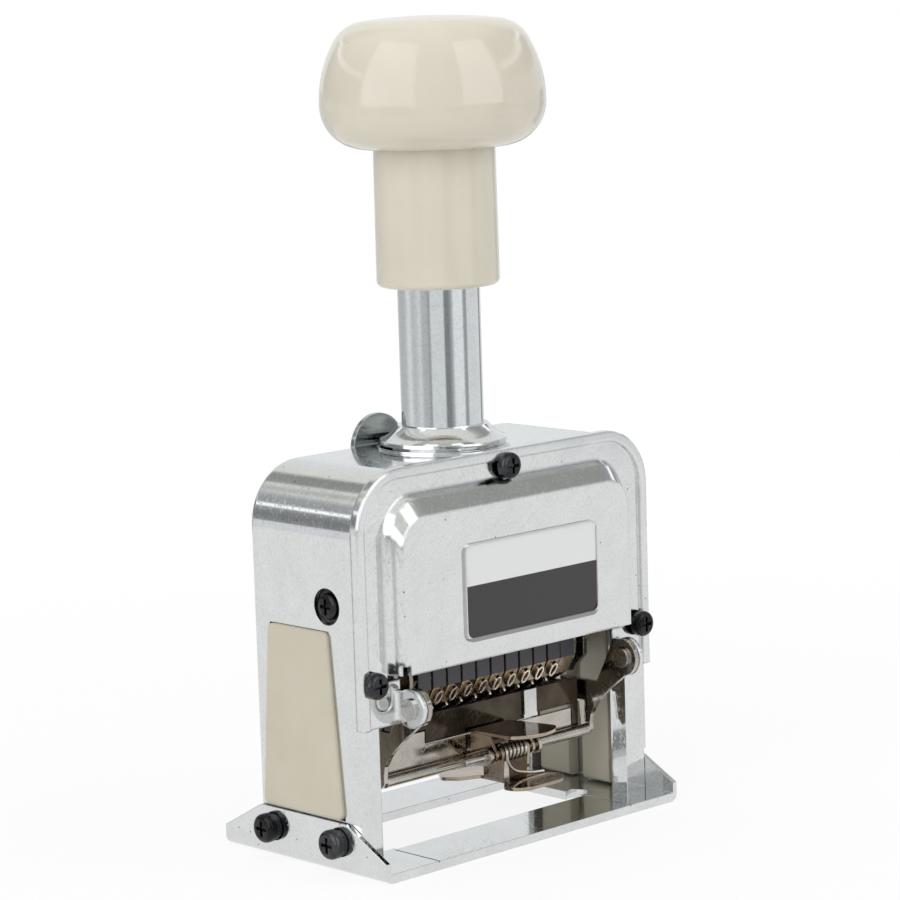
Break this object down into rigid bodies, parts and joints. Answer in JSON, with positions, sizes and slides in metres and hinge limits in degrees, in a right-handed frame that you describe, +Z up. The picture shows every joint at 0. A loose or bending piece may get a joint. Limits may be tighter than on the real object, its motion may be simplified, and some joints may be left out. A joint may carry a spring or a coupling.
{
  "type": "numbering machine",
  "caption": "Hand numbering stamp: a round handle on a tube drives number wheels down through a framed base while an inking frame swings clear.",
  "frame": {"origin": "centre of the underside of the base, below the plunger's axis", "axes": "X to the viewer's right along the wheels, Y from the labelled front to the back, Z up along the plunger"},
  "size_m": [0.1018, 0.0573, 0.19],
  "materials": {
    "bright_plate": "polished nickel-chrome plate",
    "bright_tube": "polished tube",
    "handle_beige": "glossy beige moulding",
    "insert_beige": "beige moulding, slight sheen",
    "label_field": "two-tone printed plate, unlettered",
    "dark_screw": "dark nickel",
    "steel": "bright turned steel",
    "zinc": "satin plated",
    "wheel_bronze": "nickelled bronze",
    "frame_nickel": "warm nickel",
    "holder_dark": "dark mirror-like sheet",
    "clip_nickel": "warm nickel",
    "spring_wire": "bright wire",
    "pad_felt": "ink-dark felt",
    "latch_light": "light nickel",
    "lever_dark": "dark plated sheet"
  },
  "bodies": {
    "frame": {"base_frame": "bright_plate", "housing": "bright_plate", "side_insert_left": "insert_beige", "side_insert_right": "insert_beige", "front_cover": "bright_plate", "label_plate": "label_field", "cover_screws": "dark_screw", "side_screws": "dark_screw", "base_screws": "dark_screw", "spring_washers": "dark_screw", "guide_tube": "bright_tube", "collar": "bright_plate", "guide_bush": "wheel_bronze", "tube_nut": "steel", "pivot_rivets": "steel", "lever_screw": "steel"},
    "plunger": {"handle_knob": "handle_beige", "handle_sleeve": "handle_beige", "plunger_rod": "steel", "crosshead": "zinc", "carriage_plate_left": "zinc", "carriage_plate_right": "zinc", "wheel_shaft": "steel", "tie_rods": "steel", "detent_comb": "steel", "return_spring": "spring_wire", "shaft_spacers": "wheel_bronze", "end_drum": "wheel_bronze"},
    "feed": {"feed_frame": "zinc", "feed_shaft": "steel", "feed_pawls": "steel"},
    "ink_swing": {"ink_frame": "frame_nickel", "pad_holder": "holder_dark", "ink_pad": "pad_felt", "clip_rod": "steel", "clip_lower": "clip_nickel", "clip_spring": "spring_wire", "pad_latch": "latch_light"},
    "clip_tab": {"clip_upper": "clip_nickel"},
    "lock": {"lock_lever": "lever_dark"},
    "dial": {"repeat_dial": "lever_dark"},
    "wheel_1": {"number_wheel_1": "wheel_bronze"},
    "wheel_2": {"number_wheel_2": "wheel_bronze"},
    "wheel_3": {"number_wheel_3": "wheel_bronze"},
    "wheel_4": {"number_wheel_4": "wheel_bronze"},
    "wheel_5": {"number_wheel_5": "wheel_bronze"},
    "wheel_6": {"number_wheel_6": "wheel_bronze"},
    "wheel_7": {"number_wheel_7": "wheel_bronze"},
    "wheel_8": {"number_wheel_8": "wheel_bronze"},
    "wheel_9": {"number_wheel_9": "wheel_bronze"},
    "wheel_10": {"number_wheel_10": "wheel_bronze"}
  },
  "joints": [
    {"name": "plunger_slide", "type": "slide", "parent": "frame", "child": "plunger", "axis": [0, 0, 1], "range_m": [-0.0302, 0], "stiffness_N_per_m": 200, "springref_m": 0.06, "deforming": ["return_spring"]},
    {"name": "feed_swing", "type": "hinge", "parent": "plunger", "child": "feed", "pos_m": [0, -0.006, 0.0404], "axis": [1, 0, 0], "range_deg": [0, 33]},
    {"name": "ink_frame_swing", "type": "hinge", "parent": "frame", "child": "ink_swing", "pos_m": [0, -0.0242, 0.0373], "axis": [1, 0, 0], "range_deg": [-117, 0]},
    {"name": "clip_press", "type": "hinge", "parent": "ink_swing", "child": "clip_tab", "pos_m": [0, -0.0184, 0.0199], "axis": [1, 0, 0], "range_deg": [0, 8], "stiffness_Nm_per_rad": 0.05, "springref_deg": -20.05},
    {"name": "lock_lever_turn", "type": "hinge", "parent": "frame", "child": "lock", "pos_m": [-0.0058, 0.0166, 0.074], "axis": [0, 1, 0], "range_deg": [-18, 18]},
    {"name": "repeat_dial_turn", "type": "hinge", "parent": "frame", "child": "dial", "pos_m": [0.015, 0.0171, 0.062], "axis": [0, 1, 0], "range_deg": [0, 300]},
    {"name": "wheel_1_turn", "type": "hinge", "parent": "plunger", "child": "wheel_1", "pos_m": [0, -0.006, 0.0404], "axis": [1, 0, 0], "continuous": true},
    {"name": "wheel_2_turn", "type": "hinge", "parent": "plunger", "child": "wheel_2", "pos_m": [0, -0.006, 0.0404], "axis": [1, 0, 0], "continuous": true},
    {"name": "wheel_3_turn", "type": "hinge", "parent": "plunger", "child": "wheel_3", "pos_m": [0, -0.006, 0.0404], "axis": [1, 0, 0], "continuous": true},
    {"name": "wheel_4_turn", "type": "hinge", "parent": "plunger", "child": "wheel_4", "pos_m": [0, -0.006, 0.0404], "axis": [1, 0, 0], "continuous": true},
    {"name": "wheel_5_turn", "type": "hinge", "parent": "plunger", "child": "wheel_5", "pos_m": [0, -0.006, 0.0404], "axis": [1, 0, 0], "continuous": true},
    {"name": "wheel_6_turn", "type": "hinge", "parent": "plunger", "child": "wheel_6", "pos_m": [0, -0.006, 0.0404], "axis": [1, 0, 0], "continuous": true},
    {"name": "wheel_7_turn", "type": "hinge", "parent": "plunger", "child": "wheel_7", "pos_m": [0, -0.006, 0.0404], "axis": [1, 0, 0], "continuous": true},
    {"name": "wheel_8_turn", "type": "hinge", "parent": "plunger", "child": "wheel_8", "pos_m": [0, -0.006, 0.0404], "axis": [1, 0, 0], "continuous": true},
    {"name": "wheel_9_turn", "type": "hinge", "parent": "plunger", "child": "wheel_9", "pos_m": [0, -0.006, 0.0404], "axis": [1, 0, 0], "continuous": true},
    {"name": "wheel_10_turn", "type": "hinge", "parent": "plunger", "child": "wheel_10", "pos_m": [0, -0.006, 0.0404], "axis": [1, 0, 0], "continuous": true}
  ],
  "couplings": [
    {"joint": "feed_swing", "follows": "plunger_slide", "rad_per_m": -19.07},
    {"joint": "ink_frame_swing", "follows": "plunger_slide", "rad_per_m": 67.5}
  ]
}
